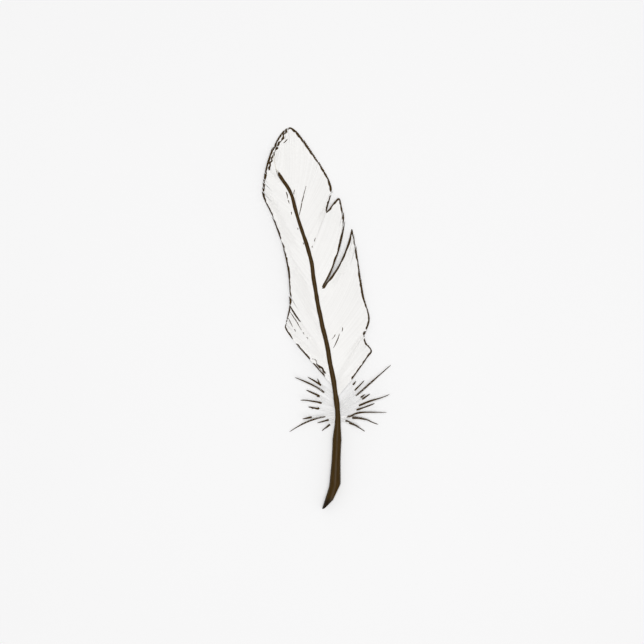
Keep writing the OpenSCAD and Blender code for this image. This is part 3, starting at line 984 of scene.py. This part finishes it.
# Height of a downy stem's section as a share of its width.
STEM_FLAT = 0.62


def barb_line(node):
    """The middle line of a CAD barb, from its root out."""
    points = cad_mesh(node)[0]
    chord = np.linalg.svd(points - points.mean(0))[2][0]
    order = np.argsort(points @ chord)
    rings = points[order].reshape(-1, 6, 3)
    line = rings.mean(1)
    spread = rings.std(1).sum(1)
    return line if spread[:2].mean() > spread[-2:].mean() else line[::-1]


def strand(pile, path, radius, sides, dark, flat=1.0):
    """A thin closed strand along a path."""
    rings = rings_round(path, radius, sides, flat=flat)
    rings[..., 2] = np.maximum(rings[..., 2], LIE_CLEAR)
    pile.tube(rings, dark=np.broadcast_to(dark, (len(path),)))


def barbules(pile, rng, path, from_share, length):
    """Fine pale threads along both sides of a downy barb, longest at its middle."""
    run = run_along(path)
    for s in np.arange(from_share * run[-1], run[-1] * 0.97, BARBULE_STEP):
        i = min(int(np.searchsorted(run, s)), len(path) - 1)
        way = unit(path[i] - path[i - 1])
        side = unit(np.cross(way, (0, 0, 1.0)))
        for sign in (-1, 1):
            size = length * (0.45 + 0.55 * math.sin(math.pi * s / run[-1])) * rng.uniform(0.6, 1.15)
            lean = rng.uniform(0.55, 1.0)
            rise = rng.uniform(-0.35, 0.45)
            tip = path[i] + size * unit(way * lean + side * sign + np.array([0, 0, rise]))
            curl = path[i] + size * 0.5 * unit(way * 0.2 + side * sign + np.array([0, 0, rise * 0.4]))
            t = np.linspace(0, 1, 4)[:, None]
            line = (1 - t) ** 2 * path[i] + 2 * t * (1 - t) * curl + t * t * tip
            strand(pile, line, BARBULE_RADIUS, 3, 0.0)


def twig(path, place, length, turn):
    """A short straight line that leaves a barb, turned from it in plan."""
    i = int(place * (len(path) - 1))
    x, y, z = unit(path[i + 1] - path[i])
    a = math.radians(turn)
    way = np.array([x * math.cos(a) - y * math.sin(a), x * math.sin(a) + y * math.cos(a), z])
    return path[i] + way * np.linspace(0, length, 6)[:, None]


def make_down(looks):
    for side, starts in DARK_FROM.items():
        rng = random.Random(side)
        body = f"{side}_down"
        lines = []
        for k, dark_from in enumerate(starts, 1):
            node = f"{side}_down_barb_{k}"
            coarse = barb_line(node)
            lines.append(coarse)
            t = np.linspace(0, 1, STEM_STATIONS)
            path = spline(coarse, t * (len(coarse) - 1))
            size = np.linalg.norm(path[-1] - path[0])
            sway = 0.012 * size * waver(rng.randrange(10 ** 6), t, 0.22)
            path = path + unit(np.cross(path[-1] - path[0], (0, 0, 1.0))) * (sway * t)[:, None]
            if (side, k) in BOWS:
                place, depth = BOWS[side, k]
                path[:, 1] -= depth * np.exp(-((t - place) / BOW_LENGTH) ** 2)
            # The dark stroke is thickest where it begins and runs out to a hair.
            after = np.clip((t - dark_from) / (1 - dark_from), 0, 1)
            dark = np.clip((t - dark_from) / DARK_EDGE + 0.5, 0, 1)
            uneven = 0.85 + 0.15 * waver(rng.randrange(10 ** 6), t, 0.12)
            full = STEM_DARK * (1 - after) ** STEM_TAPER * uneven
            radius = STEM_PALE * (1 - dark) + np.maximum(full, STEM_END) * dark
            pile = Pile("dark")
            strand(pile, path, radius, STEM_SIDES, dark, STEM_FLAT)
            barbules(pile, rng, path, 0.16, BARBULE_LENGTH)
            for place, length, turn in TWIGS.get((side, k), ()):
                strand(pile, twig(path, place, length, turn), TWIG_RADIUS, 6, 1.0, STEM_FLAT)
            piece = make(f"{side}_down_strand_{k}", pile, looks["down"], (node,), STRAND_CREASE)
            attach(piece, body)
        pile = Pile("dark")
        for _ in range(FLUFF_COUNT):
            k = rng.randrange(len(lines) - 1)
            f = rng.random()
            t = np.linspace(0, 1, 12)
            between = lines[k] * (1 - f) + lines[k + 1] * f
            path = spline(between, t * (len(between) - 1) * rng.uniform(*FLUFF_SHARE))
            path[:, 2] += rng.uniform(*FLUFF_RISE) * t ** 1.5
            strand(pile, path, FLUFF_RADIUS * (1 - 0.8 * t), 5, 0.0)
            barbules(pile, rng, path, 0.2, FLUFF_BARBULE_LENGTH)
        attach(make(f"{side}_down_fluff", pile, looks["down"], crease=STRAND_CREASE), body)


# ---- Table and light ----

# Side of the floor, in metres.
FLOOR_SIZE = 10.0
WORLD_STRENGTH = 0.33
# Soft boxes: name, place in metres, side in metres, watts.
LAMPS = [("overhead", (-0.06, 0.05, 2.6), 0.6, 40.0), ("front", (0.5, -0.5, 2.3), 0.8, 8.0)]


def make_stage():
    me = bpy.data.meshes.new("floor")
    half = FLOOR_SIZE / 2
    corners = [(-half, -half, 0), (half, -half, 0), (half, half, 0), (-half, half, 0)]
    me.from_pydata(corners, [], [(0, 1, 2, 3)])
    me.materials.append(floor_look())
    floor = bpy.data.objects.new("floor", me)
    SCENE.collection.objects.link(floor)
    world = bpy.data.worlds.new("studio")
    world.use_nodes = True
    back = world.node_tree.nodes["Background"]
    back.inputs["Color"].default_value = (1.0, 1.0, 1.0, 1)
    back.inputs["Strength"].default_value = WORLD_STRENGTH
    SCENE.world = world
    for name, place, size, energy in LAMPS:
        data = bpy.data.lights.new(name, "AREA")
        data.size, data.energy = size, energy
        lamp = bpy.data.objects.new(name, data)
        lamp.location = place
        lamp.rotation_euler = (-Vector(place)).to_track_quat("-Z", "Y").to_euler()
        SCENE.collection.objects.link(lamp)


make_camera()
looks = {
    "vane_web": web_look(),
    "barrel_horn": horn_look("barrel_horn", 0.34, True),
    "shaft_horn": horn_look("shaft_horn", 0.42, False),
    "pale_horn": pale_horn_look(),
    "down": down_look(),
    "pith": pith_look(),
    "membrane": membrane_look(),
}
for node_name, look_name in (("shaft_pith", "pith"), ("membrane_cap", "membrane")):
    materials = frame["nodes"][node_name].data.materials
    materials.clear()
    materials.append(looks[look_name])
shaft_path = make_shaft(looks)
make_quill(looks)
make_vanes(looks, shaft_path)
make_down(looks)
make_stage()
SCENE.view_settings.view_transform = "Standard"
